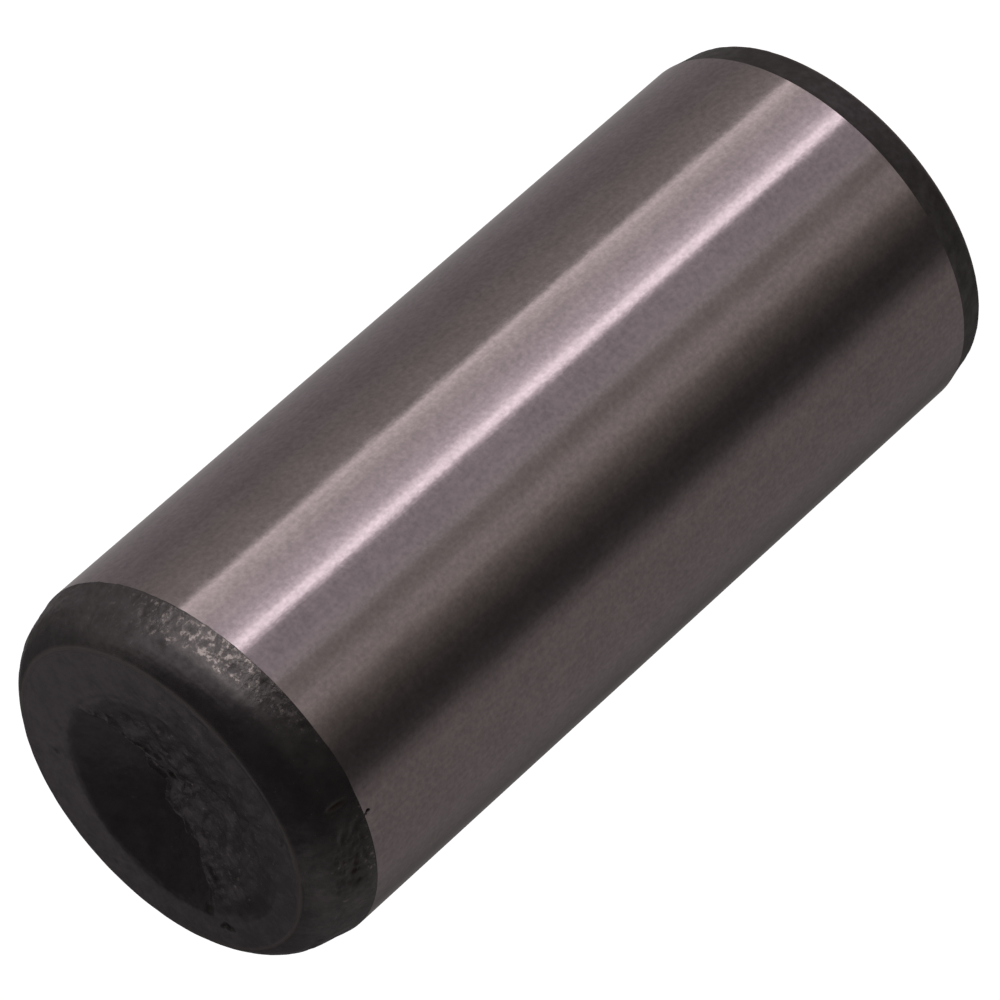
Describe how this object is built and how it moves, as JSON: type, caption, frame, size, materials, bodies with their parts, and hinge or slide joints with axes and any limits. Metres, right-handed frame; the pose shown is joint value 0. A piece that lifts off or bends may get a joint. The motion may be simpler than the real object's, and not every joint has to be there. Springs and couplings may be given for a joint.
{
  "type": "dowel pin",
  "caption": "Ground steel dowel pin with a plain tapered lead-in end and a black, dished head end, for locating or joining parts in reamed holes.",
  "frame": {"origin": "centre of the plain end face, which is the base the pin stands on", "axes": "+Z along the pin's axis from the plain end to the dished head end; +X towards the side where the forged head end reaches a little further up"},
  "size_m": [0.012, 0.012, 0.028],
  "materials": {
    "hardened_steel": "ground bright on the shank, black forging scale on both ends"
  },
  "bodies": {
    "root": {"dowel_pin": "hardened_steel"}
  },
  "joints": []
}
